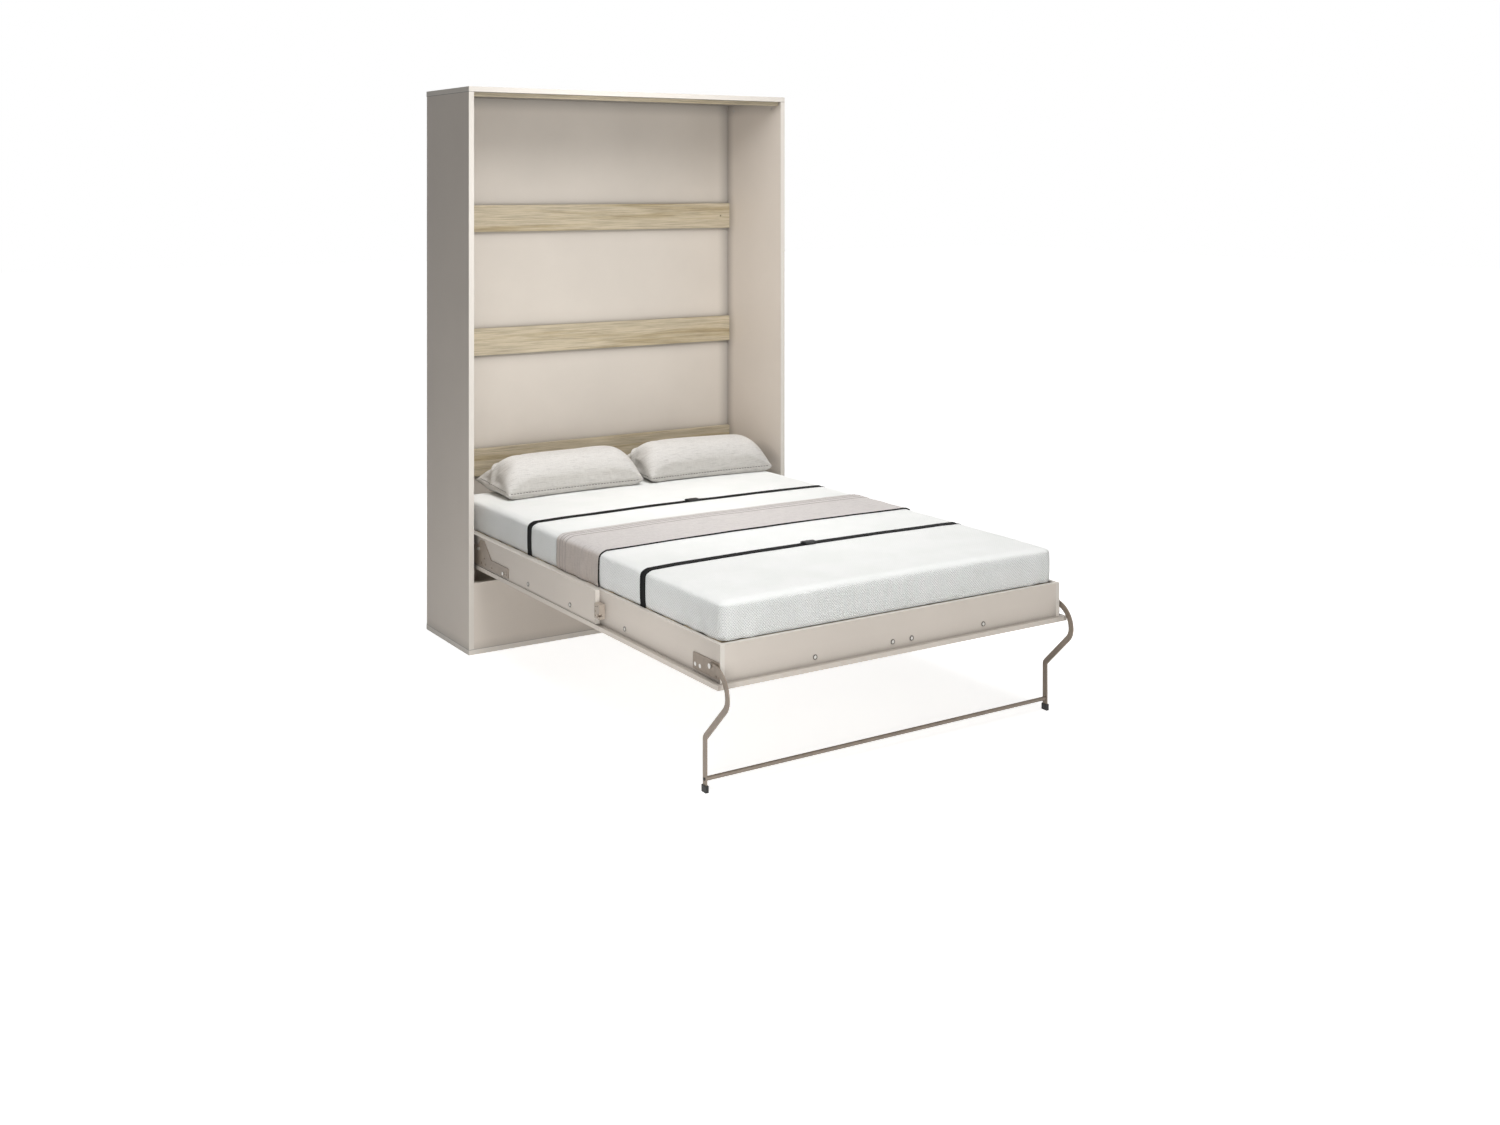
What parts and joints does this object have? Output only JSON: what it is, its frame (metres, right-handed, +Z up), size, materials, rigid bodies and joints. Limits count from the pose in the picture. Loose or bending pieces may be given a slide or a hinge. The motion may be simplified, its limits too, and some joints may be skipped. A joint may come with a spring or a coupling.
{
  "type": "wall bed",
  "caption": "Vertical double wall bed: a shallow beige cabinet with oak rails and a fold-down bed, mattress, pillows, runner and straps, on a folding steel leg frame.",
  "frame": {"origin": "middle of the cabinet's underside, on the floor", "axes": "+X across the bed to the right as seen from its foot, +Y towards the wall, +Z up; the bed is shown folded down towards -Y"},
  "size_m": [1.546, 2.279, 2.284],
  "materials": {
    "cashmere_laminate": "matt warm beige melamine laminate",
    "back_sheet_laminate": "matt warm beige lacquered thin sheet",
    "pale_oak": "pale oak grain, matt",
    "slat_wood": "plain birch, matt",
    "champagne_steel": "grey-brown powder coat, satin",
    "bright_steel": "zinc-plated, satin",
    "black_steel": "black, satin",
    "beige_plastic": "matt plastic",
    "black_plastic": "matt black plastic",
    "white_knit": "quilted knit ticking",
    "grey_weave": "thick soft weave",
    "grey_linen": "washed linen",
    "black_webbing": "woven webbing"
  },
  "bodies": {
    "cabinet": {"top_board": "cashmere_laminate", "bottom_board": "cashmere_laminate", "front_fascia": "cashmere_laminate", "stop_strip": "pale_oak", "side_board_left": "cashmere_laminate", "side_board_right": "cashmere_laminate", "cam_fittings": "bright_steel", "back_panel_lower": "back_sheet_laminate", "back_panel_middle": "back_sheet_laminate", "back_panel_upper": "back_sheet_laminate", "back_rail_lower": "pale_oak", "back_rail_middle": "pale_oak", "back_rail_upper": "pale_oak", "cabinet_hinge_plate_left": "champagne_steel", "cabinet_hinge_plate_right": "champagne_steel", "pivot_pins": "bright_steel", "hinge_plate_screws": "bright_steel", "strut_anchors": "bright_steel"},
    "bed": {"bed_runner": "grey_weave", "centre_strip": "slat_wood", "corner_connectors": "beige_plastic", "cross_rails": "cashmere_laminate", "facade_panel_foot": "cashmere_laminate", "facade_panel_head": "cashmere_laminate", "foot_rail": "cashmere_laminate", "head_rail": "cashmere_laminate", "hinge_plate_bolts": "bright_steel", "hinge_plate_left": "champagne_steel", "hinge_plate_right": "champagne_steel", "leg_bracket_left": "champagne_steel", "leg_bracket_right": "champagne_steel", "leg_bracket_screws": "bright_steel", "leg_pivot_bolts": "bright_steel", "mattress": "white_knit", "pillow_left": "grey_linen", "pillow_right": "grey_linen", "pivot_bushes": "bright_steel", "rail_caps": "beige_plastic", "side_lining_left": "cashmere_laminate", "side_lining_right": "cashmere_laminate", "side_rail_foot_left": "cashmere_laminate", "side_rail_foot_right": "cashmere_laminate", "side_rail_head_left": "cashmere_laminate", "side_rail_head_right": "cashmere_laminate", "slat_ledgers": "slat_wood", "slats": "slat_wood", "strap_buckles": "black_plastic", "strap_foot": "black_webbing", "strap_head": "black_webbing", "strut_levers": "champagne_steel"},
    "legs": {"leg_arm_left": "champagne_steel", "leg_arm_right": "champagne_steel", "leg_crossbar": "champagne_steel", "leg_foot_caps": "black_plastic", "crossbar_screws": "black_steel"},
    "strut_cylinder_left_body": {"strut_cylinder_left": "black_steel"},
    "strut_rod_left_body": {"strut_rod_left": "bright_steel"},
    "strut_cylinder_right_body": {"strut_cylinder_right": "black_steel"},
    "strut_rod_right_body": {"strut_rod_right": "bright_steel"}
  },
  "joints": [
    {"name": "bed_fold", "type": "hinge", "parent": "cabinet", "child": "bed", "pos_m": [0, -0.158, 0.402], "axis": [-1, 0, 0], "range_deg": [0, 90]},
    {"name": "leg_fold", "type": "hinge", "parent": "bed", "child": "legs", "pos_m": [0, -1.953, 0.402], "axis": [-1, 0, 0], "range_deg": [0, 225]},
    {"name": "strut_tilt_left", "type": "hinge", "parent": "cabinet", "child": "strut_cylinder_left_body", "pos_m": [-0.734, 0.162, 0.56], "axis": [1, 0, 0], "range_deg": [0, 3.2]},
    {"name": "strut_slide_left", "type": "slide", "parent": "strut_cylinder_left_body", "child": "strut_rod_left_body", "axis": [0, -0.8122, -0.5833], "range_m": [0, 0.1402]},
    {"name": "strut_tilt_right", "type": "hinge", "parent": "cabinet", "child": "strut_cylinder_right_body", "pos_m": [0.734, 0.162, 0.56], "axis": [1, 0, 0], "range_deg": [0, 3.2]},
    {"name": "strut_slide_right", "type": "slide", "parent": "strut_cylinder_right_body", "child": "strut_rod_right_body", "axis": [0, -0.8122, -0.5833], "range_m": [0, 0.1402]}
  ],
  "couplings": [
    {"joint": "leg_fold", "follows": "bed_fold", "ratio": 2.5},
    {"joint": "strut_tilt_left", "follows": "bed_fold", "ratio": 0.03547},
    {"joint": "strut_slide_left", "follows": "bed_fold", "m_per_rad": 0.089251},
    {"joint": "strut_tilt_right", "follows": "bed_fold", "ratio": 0.03547},
    {"joint": "strut_slide_right", "follows": "bed_fold", "m_per_rad": 0.089251}
  ]
}
